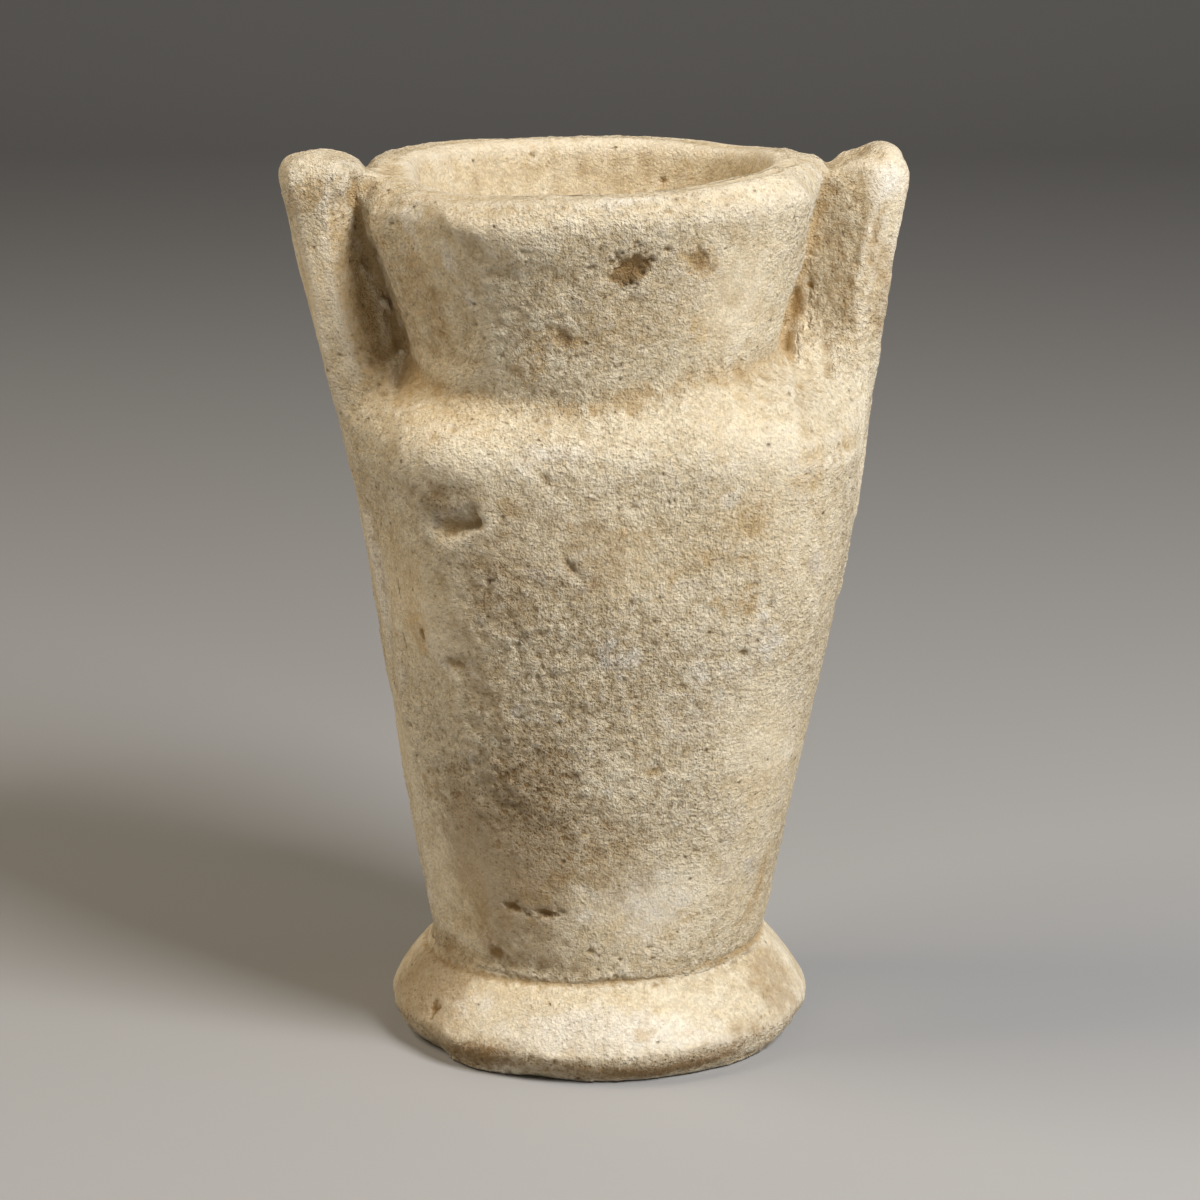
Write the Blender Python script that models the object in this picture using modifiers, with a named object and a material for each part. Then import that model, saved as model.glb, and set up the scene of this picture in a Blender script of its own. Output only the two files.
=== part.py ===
# A small two-handled jar, carved by hand from one block of soft limestone.
# Metres, +Z up. It stands on z = 0, its handles lie along X and its front faces -Y.
import math

import bmesh
import bpy
from mathutils import Vector

# Foot: a flared disc with a short upright edge
FOOT_HEIGHT = 0.0148
FOOT_RADIUS = 0.0334
FOOT_EDGE_HEIGHT = 0.0050
SOLE_INSET = 0.0018
FOOT_FULLNESS = 1.6

# Body: round at the foot and squarish at the shoulder, swelling a little between
BODY_BASE_RADIUS = 0.0263
BODY_HEIGHT = 0.0852
BODY_SWELL = 0.0009
BODY_LEAN = 0.0019
BODY_LEAN_LEVEL = 0.0850
BODY_LEAN_SPAN = 0.0280
FOOT_SHIFT = 0.0007
SHOULDER_HALF_WIDTH = 0.0393
SHOULDER_HALF_DEPTH = 0.0346
SHOULDER_RISE = 0.0062
LEDGE_SOFTNESS = 0.0034
LEDGE_CREASE = 0.0014

# Neck: flares from the shoulder's ledge up to the rim
NECK_BASE_RADIUS = 0.0284
NECK_HEIGHT = 0.0318
NECK_SHIFT = -0.0005
NECK_FLARE = 1.1
RIM_RADIUS = 0.0360
LIP_ROUND = 0.0030

# Hollow: cut down from the mouth, narrowing to a rounded floor
RIM_WALL = 0.0082
NECK_WALL = 0.0090
HOLLOW_DEPTH = 0.0960
HOLLOW_FLOOR_RADIUS = 0.0130
HOLLOW_FLOOR_ROUND = 0.0050
HOLLOW_STEPS = 64

# Handles: upright lugs that carry the body's sides on to just over the rim
HANDLE_REACH = 0.0484
HANDLE_OVER_RIM = 0.0034
HANDLE_UNEVEN = 0.0004
HANDLE_THICKNESS = 0.0186
HANDLE_FACE = 0.0130
HANDLE_FACE_SLANT = 0.0060
HANDLE_TOP_SLANT = {1: 0.0044, -1: 0.0080}
HANDLE_WEB = 0.0072
HANDLE_ROOT = 0.0560
HANDLE_TOP_ROUND = 0.0044
HANDLE_TOP_FALL = 0.0028
HANDLE_TOP_RUN = 0.0066
HANDLE_TOP_CURVE = 1.5
HANDLE_CREST = {1: 0.0042, -1: 0.0072}

# Sections: how square each one is, from 2 for a circle upwards
ROUND = 2.0
SHOULDER_SQUARE = 3.2
NECK_SQUARE = 2.7
RIM_SQUARE = 2.4

# Damage and tool work: the worn bite on the rim and on the foot, and a chisel's notch in the body
RIM_BITE = 0.0034
RIM_BITE_LENGTH = 0.0200
RIM_BITE_BEARING = 212
FOOT_BITE = 0.0017
FOOT_BITE_LENGTH = 0.0240
FOOT_BITE_BEARING = 208
NOTCH_DEPTH = 0.0013
NOTCH_LENGTH = 0.0095
NOTCH_BEARING = 226
NOTCH_BODY_SHARE = 0.86
BITE_ROLL = 0.2

# Hand work: the unevenness of the carved surface, and the grain of the worn form
CARVING_WANDER = 0.0007
CARVING_SPAN = 0.0180
FORM_GRAIN = 0.0010
WEAR_STEPS = 7
KEPT_SHARE = 0.062
LEDGE_DRIFT_BELOW = 0.4

# How far the rim and the shoulder's ledge leave their levels, by bearing in degrees from +X
RIM_DRIFT = {0: 0.0016, 40: 0.0, 90: 0.0004, 150: 0.0008, 215: -0.0016, 270: 0.0002, 320: 0.0020}
LEDGE_DRIFT = {40: 0.0020, 120: 0.0, 182: 0.0042, 224: 0.0, 262: -0.0005, 300: 0.0030, 340: 0.0042}

RING_POINTS = 96
BODY_RINGS = 14
LEDGE_RINGS = 10
NECK_RINGS = 8
ROUND_STEPS = 5
STONE = (0.66, 0.575, 0.43, 1.0)
STONE_ROUGHNESS = 0.92

# Levels that follow from the sizes above
SHOULDER = FOOT_HEIGHT + BODY_HEIGHT
NECK_BASE = SHOULDER + SHOULDER_RISE
RIM = NECK_BASE + NECK_HEIGHT
HOLLOW_FLOOR = RIM - HOLLOW_DEPTH
MOUTH_RADIUS = RIM_RADIUS - RIM_WALL
THROAT_RADIUS = NECK_BASE_RADIUS - NECK_WALL
SIDE_SLOPE = (HANDLE_REACH - BODY_BASE_RADIUS) / (RIM - FOOT_HEIGHT)


def blend(start, end, share):
    return start + (end - start) * share


def drift(levels, bearing):
    """Read a dictionary of bearings as one smooth closed curve."""
    stops = sorted(levels)
    bearing = (bearing - stops[0]) % 360 + stops[0]
    for before, after in zip(stops, stops[1:] + [stops[0] + 360]):
        if bearing <= after:
            share = (bearing - before) / (after - before)
            eased = share * share * (3 - 2 * share)
            return blend(levels[before], levels[(after - stops[0]) % 360 + stops[0]], eased)
    return levels[stops[0]]


def radius_at(bearing, half_width, half_depth, square):
    """Distance from the axis to a squarish section, along a bearing in degrees."""
    across = abs(math.cos(math.radians(bearing))) / half_width
    along = abs(math.sin(math.radians(bearing))) / half_depth
    return (across ** square + along ** square) ** (-1 / square)


def body_size(share):
    """Half width, half depth and squareness of the body, from the foot (0) to the shoulder (1)."""
    swell = BODY_SWELL * 4 * share * (1 - share)
    half_width = blend(BODY_BASE_RADIUS, SHOULDER_HALF_WIDTH, share) + swell
    half_depth = blend(BODY_BASE_RADIUS, SHOULDER_HALF_DEPTH, share) + swell
    return half_width, half_depth, blend(ROUND, SHOULDER_SQUARE, share)


def neck_size(share):
    """Half width and squareness of the neck, from the ledge (0) to the rim (1)."""
    radius = blend(NECK_BASE_RADIUS, RIM_RADIUS, share ** NECK_FLARE)
    return radius, blend(NECK_SQUARE, RIM_SQUARE, share)


def ledge_level(share):
    """Height along the shoulder's soft bend, from the body's side (0) to the neck's side (1)."""
    low, low_pull = SHOULDER - LEDGE_SOFTNESS, SHOULDER + LEDGE_SOFTNESS
    high_pull, high = NECK_BASE - LEDGE_CREASE, NECK_BASE + LEDGE_CREASE
    rest = 1 - share
    return rest ** 3 * low + 3 * rest * share * (rest * low_pull + share * high_pull) + share ** 3 * high


def lean_at(level):
    """How far the foot, the body and the handles stand off towards +X at a level."""
    off_level = (level - BODY_LEAN_LEVEL) / BODY_LEAN_SPAN
    return BODY_LEAN * math.exp(-off_level * off_level) + FOOT_SHIFT * (1 - level / RIM)


def ring(level, half_width, half_depth, square, rim_share=0.0, ledge_share=0.0, neck_share=0.0):
    """One closed section of the outside, as points round the axis."""
    points = []
    shift = blend(lean_at(level), NECK_SHIFT, neck_share)
    for step in range(RING_POINTS):
        bearing = 360 * step / RING_POINTS
        radius = radius_at(bearing, half_width, half_depth, square)
        height = level + rim_share * drift(RIM_DRIFT, bearing) + ledge_share * drift(LEDGE_DRIFT, bearing)
        angle = math.radians(bearing)
        points.append(Vector((radius * math.cos(angle) + shift, radius * math.sin(angle), height)))
    return points


def outside_rings():
    """Sections of foot, body, ledge, neck and lip, from the sole up."""
    rings = []
    sole = FOOT_RADIUS - SOLE_INSET
    side = FOOT_RADIUS - SOLE_INSET / 4
    rings.append(ring(0.0, sole, sole, ROUND))
    rings.append(ring(SOLE_INSET, side, side, ROUND))
    for step in range(ROUND_STEPS + 1):
        share = step / ROUND_STEPS
        radius = blend(FOOT_RADIUS, BODY_BASE_RADIUS, share ** FOOT_FULLNESS)
        rings.append(ring(blend(FOOT_EDGE_HEIGHT, FOOT_HEIGHT, share), radius, radius, ROUND))
    for step in range(1, BODY_RINGS + 1):
        share = (step / BODY_RINGS) * (1 - LEDGE_SOFTNESS / BODY_HEIGHT)
        width, depth, square = body_size(share)
        rings.append(ring(blend(FOOT_HEIGHT, SHOULDER, share), width, depth, square, 0.0,
                          LEDGE_DRIFT_BELOW * share ** 3))
    base, base_square = neck_size(LEDGE_CREASE / NECK_HEIGHT)
    for step in range(1, LEDGE_RINGS + 1):
        share = step / LEDGE_RINGS
        inward = share * share * (3 - 2 * share)
        level = ledge_level(share)
        rings.append(ring(level, blend(width, base, inward), blend(depth, base, inward),
                          blend(square, base_square, inward), 0.0,
                          blend(LEDGE_DRIFT_BELOW, 1.0, inward), inward))
    neck_start = NECK_BASE + LEDGE_CREASE
    for step in range(1, NECK_RINGS + 1):
        share = step / NECK_RINGS
        radius, square = neck_size(blend(LEDGE_CREASE / NECK_HEIGHT, 1.0, share))
        level = blend(neck_start, RIM - LIP_ROUND, share)
        rings.append(ring(level, radius, radius, square, share, (1 - share) ** 2, 1.0))
    lip = RIM_RADIUS - LIP_ROUND
    rings.append(ring(RIM, lip, lip, RIM_SQUARE, 1.0, 0.0, 1.0))
    rings.append(ring(RIM, MOUTH_RADIUS / 2, MOUTH_RADIUS / 2, ROUND, 0.0, 0.0, 1.0))
    return rings


def loft(name, rings, collection):
    """A closed solid through sections that have as many points as each other."""
    shape = bmesh.new()
    loops = [[shape.verts.new(point) for point in points] for points in rings]
    count = len(loops[0])
    for lower, upper in zip(loops, loops[1:]):
        for step in range(count):
            after = (step + 1) % count
            shape.faces.new((lower[step], lower[after], upper[after], upper[step]))
    shape.faces.new(loops[0][::-1])
    shape.faces.new(loops[-1])
    mesh = bpy.data.meshes.new(name)
    shape.to_mesh(mesh)
    shape.free()
    piece = bpy.data.objects.new(name, mesh)
    collection.objects.link(piece)
    return piece


def lug_ring(level, side, outer, thick_share, top):
    """One plan section of a handle: its face, its two widest edges, and the web that meets the neck."""
    neck_share = min(max((level - NECK_BASE) / NECK_HEIGHT, 0.0), 1.0)
    neck = neck_size(neck_share)[0]
    fall_share = max((level - NECK_BASE) / (top - NECK_BASE), 0.0)
    widest = outer - blend(HANDLE_FACE_SLANT, HANDLE_TOP_SLANT[side], fall_share)
    corners = [(neck - NECK_WALL / 2, HANDLE_WEB / 2), (neck, HANDLE_WEB / 2),
               (widest, thick_share * HANDLE_THICKNESS / 2), (outer, thick_share * HANDLE_FACE / 2)]
    crest = HANDLE_REACH - HANDLE_CREST[side]
    points = []
    for x, y in [(x, -y) for x, y in corners] + corners[::-1]:
        inward = max(crest - x, 0.0) / HANDLE_TOP_RUN
        fall = fall_share * HANDLE_TOP_FALL * min(inward, HANDLE_TOP_CURVE) ** HANDLE_TOP_CURVE
        points.append(Vector((side * x + lean_at(level), side * y, level - fall)))
    return points


def lug(name, side, collection):
    """A handle on the side +1 or -1, rounded over its top."""
    top = RIM + HANDLE_OVER_RIM - side * HANDLE_UNEVEN
    shoulder_of_top = top - HANDLE_TOP_ROUND
    rings = []
    for step in range(NECK_RINGS + 1):
        level = blend(HANDLE_ROOT, shoulder_of_top, step / NECK_RINGS)
        outer = BODY_BASE_RADIUS + SIDE_SLOPE * (level - FOOT_HEIGHT)
        rings.append(lug_ring(level, side, outer, 1.0, top))
    widest = outer
    for step in range(1, ROUND_STEPS + 1):
        angle = math.pi / 2 * step / ROUND_STEPS
        drawn_in = HANDLE_TOP_ROUND * (1 - math.cos(angle))
        level = shoulder_of_top + HANDLE_TOP_ROUND * math.sin(angle)
        thick_share = 1 - 2 * drawn_in / HANDLE_THICKNESS
        rings.append(lug_ring(level, side, widest - drawn_in, thick_share, top))
    return loft(name, rings, collection)


def hollow_cutter(collection):
    """The turned hollow: a profile run down its outer side, from over the mouth to the floor."""
    over = 2 * HANDLE_OVER_RIM
    flare = (MOUTH_RADIUS - THROAT_RADIUS) / NECK_HEIGHT
    profile = [(0.0, RIM + over), (MOUTH_RADIUS + flare * over, RIM + over), (MOUTH_RADIUS, RIM),
               (THROAT_RADIUS, NECK_BASE), (HOLLOW_FLOOR_RADIUS, HOLLOW_FLOOR + HOLLOW_FLOOR_ROUND)]
    for step in range(1, ROUND_STEPS + 1):
        angle = math.pi / 2 * step / ROUND_STEPS
        profile.append((HOLLOW_FLOOR_RADIUS - HOLLOW_FLOOR_ROUND * (1 - math.cos(angle)),
                        HOLLOW_FLOOR + HOLLOW_FLOOR_ROUND * (1 - math.sin(angle))))
    profile.append((0.0, HOLLOW_FLOOR))
    mesh = bpy.data.meshes.new("hollow")
    mesh.from_pydata([(x, 0.0, z) for x, z in profile], [(i, i + 1) for i in range(len(profile) - 1)], [])
    cutter = bpy.data.objects.new("hollow", mesh)
    collection.objects.link(cutter)
    cutter.location.x = NECK_SHIFT
    screw = cutter.modifiers.new("turn", "SCREW")
    screw.steps = HOLLOW_STEPS
    screw.render_steps = HOLLOW_STEPS
    screw.use_merge_vertices = True
    screw.merge_threshold = 0.00005
    return cutter


def bite_cutter(name, bearing, level, radius, sizes, bite, roll, collection):
    """A flattened ball that bites a little way into the surface at a bearing and a level."""
    bpy.ops.mesh.primitive_ico_sphere_add(subdivisions=3, radius=0.5)
    cutter = bpy.context.object
    cutter.name = name
    length, depth, height = sizes
    cutter.scale = (depth, length, height)
    angle = math.radians(bearing)
    reach = radius + depth / 2 - bite
    cutter.rotation_euler = (roll, 0.0, angle)
    cutter.location = (reach * math.cos(angle) + lean_at(level), reach * math.sin(angle), level)
    move_to(cutter, collection)
    return cutter


def ground_cutter(collection):
    """A block under the sole, which leaves it flat."""
    depth = FOOT_HEIGHT
    bpy.ops.mesh.primitive_cube_add(size=1.0, location=(0.0, 0.0, -depth / 2))
    cutter = bpy.context.object
    cutter.name = "ground"
    cutter.scale = (4 * FOOT_RADIUS, 4 * FOOT_RADIUS, depth)
    move_to(cutter, collection)
    return cutter


def move_to(piece, collection):
    for holder in list(piece.users_collection):
        holder.objects.unlink(piece)
    collection.objects.link(piece)


def join_or_cut(piece, other, operation):
    change = piece.modifiers.new(other.name, "BOOLEAN")
    change.operation = operation
    change.solver = "EXACT"
    change.object = other


def wear(piece):
    """Melt the joined shapes into one worn stone form with few faces."""
    grain = piece.modifiers.new("one skin", "REMESH")
    grain.mode = "VOXEL"
    grain.voxel_size = FORM_GRAIN
    soften = piece.modifiers.new("worn edges", "SMOOTH")
    soften.factor = 0.5
    soften.iterations = WEAR_STEPS
    clouds = bpy.data.textures.new("carving", "CLOUDS")
    clouds.noise_scale = CARVING_SPAN
    clouds.noise_depth = 2
    uneven = piece.modifiers.new("hand carving", "DISPLACE")
    uneven.texture = clouds
    uneven.texture_coords = "LOCAL"
    uneven.strength = CARVING_WANDER
    uneven.mid_level = 0.5
    fewer = piece.modifiers.new("few faces", "DECIMATE")
    fewer.ratio = KEPT_SHARE


def limestone():
    material = bpy.data.materials.new("limestone")
    material.use_nodes = True
    shader = material.node_tree.nodes["Principled BSDF"]
    shader.inputs["Base Color"].default_value = STONE
    shader.inputs["Roughness"].default_value = STONE_ROUGHNESS
    shader.inputs["Metallic"].default_value = 0.0
    return material


def build_jar():
    for old in list(bpy.data.objects):
        bpy.data.objects.remove(old, do_unlink=True)
    parts = bpy.data.collections.new("limestone_jar")
    cutters = bpy.data.collections.new("cutters")
    for collection in (parts, cutters):
        bpy.context.scene.collection.children.link(collection)

    jar = loft("jar", outside_rings(), parts)
    handles = [lug("handle_right", 1, cutters), lug("handle_left", -1, cutters)]
    foot_bite = (FOOT_BITE_LENGTH, 2 * FOOT_HEIGHT / 3, FOOT_HEIGHT)
    rim_bite = (RIM_BITE_LENGTH, RIM_WALL, RIM_WALL)
    notch = (NOTCH_LENGTH, 4 * NOTCH_DEPTH, NOTCH_LENGTH / 2)
    notch_level = blend(FOOT_HEIGHT, SHOULDER, NOTCH_BODY_SHARE)
    notch_radius = radius_at(NOTCH_BEARING, *body_size(NOTCH_BODY_SHARE))
    rim_radius = radius_at(RIM_BITE_BEARING, RIM_RADIUS, RIM_RADIUS, RIM_SQUARE)
    cuts = [
        hollow_cutter(cutters),
        bite_cutter("rim_bite", RIM_BITE_BEARING, RIM - LIP_ROUND / 2, rim_radius, rim_bite,
                    RIM_BITE, 0.0, cutters),
        bite_cutter("foot_bite", FOOT_BITE_BEARING, 0.0, FOOT_RADIUS, foot_bite,
                    FOOT_BITE, BITE_ROLL, cutters),
        bite_cutter("notch", NOTCH_BEARING, notch_level, notch_radius, notch,
                    NOTCH_DEPTH, -BITE_ROLL, cutters),
    ]
    for handle in handles:
        join_or_cut(jar, handle, "UNION")
    for cutter in cuts:
        join_or_cut(jar, cutter, "DIFFERENCE")
    wear(jar)
    join_or_cut(jar, ground_cutter(cutters), "DIFFERENCE")
    for guide in cutters.objects:
        guide.hide_render = True
        guide.display_type = "WIRE"
    jar.data.materials.append(limestone())
    return jar


build_jar()
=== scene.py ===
# A small two-handled limestone jar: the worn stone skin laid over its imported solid.
import math

import bmesh
import bpy
import numpy as np
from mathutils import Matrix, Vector
from mathutils.bvhtree import BVHTree


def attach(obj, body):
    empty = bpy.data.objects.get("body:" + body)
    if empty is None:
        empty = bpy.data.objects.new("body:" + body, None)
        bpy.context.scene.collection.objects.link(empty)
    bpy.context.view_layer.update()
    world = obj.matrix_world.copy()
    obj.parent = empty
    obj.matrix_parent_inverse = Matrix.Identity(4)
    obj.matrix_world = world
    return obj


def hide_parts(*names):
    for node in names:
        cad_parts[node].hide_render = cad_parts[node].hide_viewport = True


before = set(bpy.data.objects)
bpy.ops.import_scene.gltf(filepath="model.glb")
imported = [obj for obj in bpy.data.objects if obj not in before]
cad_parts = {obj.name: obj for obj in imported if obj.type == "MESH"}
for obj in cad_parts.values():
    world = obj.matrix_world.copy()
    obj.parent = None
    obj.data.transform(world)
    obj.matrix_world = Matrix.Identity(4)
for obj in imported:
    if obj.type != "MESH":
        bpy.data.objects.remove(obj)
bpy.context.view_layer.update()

mm = 0.001
scene = bpy.context.scene
photoAzimuth = math.radians(-8)  # the photograph looks at the front from a little to the left
rightWay = Vector((math.cos(photoAzimuth), math.sin(photoAzimuth), 0))
awayWay = Vector((-math.sin(photoAzimuth), math.cos(photoAzimuth), 0))
upWay = Vector((0, 0, 1))


def fromPhoto(across, away, up):
    # millimetres across, away from and above the middle of the foot, as the camera sees them
    return (rightWay * across + awayWay * away + upWay * up) * mm


def addObject(name, data):
    made = bpy.data.objects.new(name, data)
    scene.collection.objects.link(made)
    return made


# The studio: a pale sweep, soft lamps, and a long lens a little above the rim

studio = {
    "cameraPlace": (0.85, -600.3, 224.5),
    "cameraDip": 14.5,
    "lens": 117.45,
    "floorHalfWidth": 3000,
    "floorFront": -2600,
    "floorBack": 1500,
    "bend": 500,
    "wallHeight": 1600,
    "bendSteps": 12,
    "floorColour": (0.37, 0.37, 0.375, 1),
    "floorRoughness": 0.85,
    "ambient": (0.014, 0.013, 0.012, 1),
    "lampsAimAt": 70,
    # degrees to the right of the camera, degrees up, distance in mm, size in m, watts, colour
    "lamps": {
        "key": (48, 42, 800, 0.30, 7.7, (1.0, 0.985, 0.965)),
        "side": (80, 22, 800, 0.36, 0.6, (1.0, 0.97, 0.95)),
        "fill": (-84, 48, 800, 0.40, 3.5, (1.0, 0.86, 0.66)),
        "low": (-22, 8, 900, 0.50, 0.65, (1.0, 0.90, 0.74)),
    },
}


def buildStudio():
    lens = bpy.data.cameras.new("camera")
    lens.lens = studio["lens"]
    lens.sensor_width = 36
    lens.clip_start = 0.01
    lens.clip_end = 20
    camera = addObject("camera", lens)
    camera.location = fromPhoto(*studio["cameraPlace"])
    camera.rotation_euler = (math.radians(90 - studio["cameraDip"]), 0, photoAzimuth)
    scene.camera = camera

    middle = fromPhoto(0, 0, studio["lampsAimAt"])
    for name, (right, up, distance, size, watts, colour) in studio["lamps"].items():
        light = bpy.data.lights.new(name, "AREA")
        light.size = size
        light.energy = watts
        light.color = colour
        lamp = addObject(name, light)
        turn, lift = math.radians(right), math.radians(up)
        flat = distance * math.cos(lift)
        lamp.location = middle + fromPhoto(flat * math.sin(turn), -flat * math.cos(turn),
                                           distance * math.sin(lift))
        aim = middle - lamp.location
        lamp.rotation_euler = aim.to_track_quat("-Z", "Y").to_euler()

    scene.view_settings.view_transform = "Standard"  # the stone's own colours, as photographed
    world = bpy.data.worlds.new("room")
    world.use_nodes = True
    world.node_tree.nodes["Background"].inputs["Color"].default_value = studio["ambient"]
    scene.world = world

    profile = [(studio["floorFront"], 0), (studio["floorBack"] - studio["bend"], 0)]
    for step in range(1, studio["bendSteps"] + 1):
        turn = math.pi / 2 * step / studio["bendSteps"]
        profile.append((studio["floorBack"] - studio["bend"] * (1 - math.sin(turn)),
                        studio["bend"] * (1 - math.cos(turn))))
    profile.append((studio["floorBack"], studio["wallHeight"]))
    sweep = bmesh.new()
    rows = [[sweep.verts.new(fromPhoto(side * studio["floorHalfWidth"], away, up)) for side in (-1, 1)]
            for away, up in profile]
    for low, high in zip(rows, rows[1:]):
        sweep.faces.new((low[0], low[1], high[1], high[0]))
    mesh = bpy.data.meshes.new("floor")
    sweep.to_mesh(mesh)
    sweep.free()
    mesh.shade_smooth()
    floor = addObject("floor", mesh)
    paper = bpy.data.materials.new("pale paper")
    paper.use_nodes = True
    shader = paper.node_tree.nodes["Principled BSDF"]
    shader.inputs["Base Color"].default_value = studio["floorColour"]
    shader.inputs["Roughness"].default_value = studio["floorRoughness"]
    mesh.materials.append(paper)
    print("studio: camera, floor and", len(studio["lamps"]), "lamps")


# Node helpers, for shaders and Geometry Nodes alike

def put(tree, kind, inputs=None, **settings):
    node = tree.nodes.new(kind)
    for name, value in settings.items():
        setattr(node, name, value)
    for name, value in (inputs or {}).items():
        if isinstance(value, bpy.types.NodeSocket):
            tree.links.new(value, node.inputs[name])
        else:
            node.inputs[name].default_value = value
    return node


def sums(tree, operation, first, second=0.0, third=0.0, clamp=False):
    node = put(tree, "ShaderNodeMath", {0: first, 1: second, 2: third}, operation=operation,
               use_clamp=clamp)
    return node.outputs[0]


def times(tree, first, second):
    return sums(tree, "MULTIPLY", first, second)


def timesPlus(tree, first, second, third, clamp=False):
    return sums(tree, "MULTIPLY_ADD", first, second, third, clamp)


def vectorSums(tree, operation, first, second):
    slot = "Scale" if operation == "SCALE" else 1
    return put(tree, "ShaderNodeVectorMath", {0: first, slot: second}, operation=operation).outputs[0]


def cloud(tree, place, size, detail=2.0, rough=0.5, seed=0.0, stretch=None):
    # a noise whose blots are about size mm across
    if stretch:
        place = vectorSums(tree, "MULTIPLY", place, stretch)
    node = put(tree, "ShaderNodeTexNoise", {"Vector": place, "W": seed, "Scale": 1 / (size * mm),
               "Detail": detail, "Roughness": rough}, noise_dimensions="4D")
    return node.outputs[0]


def ramp(tree, value, low, high, start=0.0, end=1.0):
    node = put(tree, "ShaderNodeMapRange", {"Value": value, "From Min": low, "From Max": high,
               "To Min": start, "To Max": end}, interpolation_type="SMOOTHSTEP")
    return node.outputs[0]


socketKinds = {"Geometry": "Geometry", "Vector": "Vector", "Seed": "Int"}  # the others are Float


def newTree(name, kind, takes, gives):
    # an empty tree with named inputs and outputs
    tree = bpy.data.node_groups.new(name, kind)
    for way, titles in (("INPUT", takes), ("OUTPUT", gives)):
        for title in titles:
            value = "NodeSocket" + socketKinds.get(title, "Float")
            tree.interface.new_socket(title, in_out=way, socket_type=value)
    return tree, put(tree, "NodeGroupInput").outputs


def endTree(tree, geometry, material):
    # every modifier tree ends in real faces that have their material
    whole = put(tree, "GeometryNodeRealizeInstances", {"Geometry": geometry})
    painted = put(tree, "GeometryNodeSetMaterial", {"Geometry": whole.outputs[0], "Material": material})
    put(tree, "NodeGroupOutput", {"Geometry": painted.outputs[0]})
    return tree


def storedMask(tree, name):
    return put(tree, "GeometryNodeInputNamedAttribute", {"Name": name}, data_type="FLOAT").outputs[0]


# Mesh helpers

def vectorsOf(rows, name):
    flat = np.empty(len(rows) * 3, np.float32)
    rows.foreach_get(name, flat)
    return flat.reshape(-1, 3).astype(float)


def pointsOf(mesh):
    return vectorsOf(mesh.vertices, "co")


def surfaceOf(piece):
    return pointsOf(piece.data), vectorsOf(piece.data.vertex_normals, "vector")


def unit(values):
    # held between 0 and 1
    return np.clip(values, 0, 1)


def setPoints(mesh, points):
    mesh.vertices.foreach_set("co", points.astype(np.float32).ravel())
    mesh.update()


def setMask(mesh, name, values):
    layer = mesh.attributes.get(name) or mesh.attributes.new(name, "FLOAT", "POINT")
    layer.data.foreach_set("value", values.astype(np.float32))


def mergedCopy(node, name):
    mesh = node.data.copy()
    mesh.materials.clear()
    work = bmesh.new()
    work.from_mesh(mesh)
    bmesh.ops.remove_doubles(work, verts=work.verts, dist=0.001 * mm)
    work.to_mesh(mesh)
    work.free()
    return addObject(name, mesh)


def settle(piece):
    # the modifiers' result becomes the piece's own plain mesh
    graph = bpy.context.evaluated_depsgraph_get()
    made = bpy.data.meshes.new_from_object(piece.evaluated_get(graph))
    piece.modifiers.clear()
    piece.data = made
    made.name = piece.name
    print("  ", len(made.polygons), "faces")


def reskin(piece, grain, melt):
    # one closed skin of even faces, melted a little
    change = piece.modifiers.new("skin", "REMESH")
    change.mode = "VOXEL"
    change.voxel_size = grain * mm
    if melt:
        soften = piece.modifiers.new("melt", "SMOOTH")
        soften.factor = 0.5
        soften.iterations = melt
    settle(piece)


def blurred(mesh, values, steps):
    # the values averaged over their neighbours, after each step
    edges = np.empty(len(mesh.edges) * 2, np.int32)
    mesh.edges.foreach_get("vertices", edges)
    first, second = edges[::2], edges[1::2]
    count = np.maximum(np.bincount(edges, minlength=len(values)), 1)[:, None]
    stages = []
    for _ in range(steps):
        total = np.empty_like(values)
        for axis in range(values.shape[1]):
            column = values[:, axis]
            total[:, axis] = (np.bincount(first, column[second], len(values))
                              + np.bincount(second, column[first], len(values)))
        values = total / count
        stages.append(values)
    return stages


def ripple(points, size, seed, waves=16):
    # a smooth value, mostly from -1 to 1, that wanders over about size mm
    dice = np.random.default_rng(seed)
    total = np.zeros(len(points))
    for _ in range(waves):
        way = dice.normal(size=3)
        way *= 2 * math.pi * dice.uniform(0.6, 1.5) / (np.linalg.norm(way) * size * mm)
        total += np.sin(points @ way + dice.uniform(0, 2 * math.pi))
    return total / math.sqrt(waves)


def drift(points, middle, swing, size, seed):
    return middle + swing * ripple(points, size, seed)


# Places on the jar. "front" is across and level as the photograph looks, "back" is the same from
# behind, "top" is across and away, seen from above, and "round" is a bearing in degrees from +X and
# a level. Lengths are mm.

farOff = 9.0  # a share that lies outside every spot and line


def findPlace(tree, view, first, second):
    if view == "front":
        start, aim = fromPhoto(first, -200, second), awayWay
    elif view == "back":
        start, aim = fromPhoto(first, 200, second), -awayWay
    elif view == "top":
        start, aim = fromPhoto(first, second, 300), -upWay
    else:
        turn = math.radians(first)
        aim = Vector((-math.cos(turn), -math.sin(turn), 0))
        start = upWay * second * mm - aim * 0.2
    place, normal = tree.ray_cast(start, aim)[:2]
    if place is None:
        raise ValueError(f"nothing at {view} {first}, {second}")
    return place, normal


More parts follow.
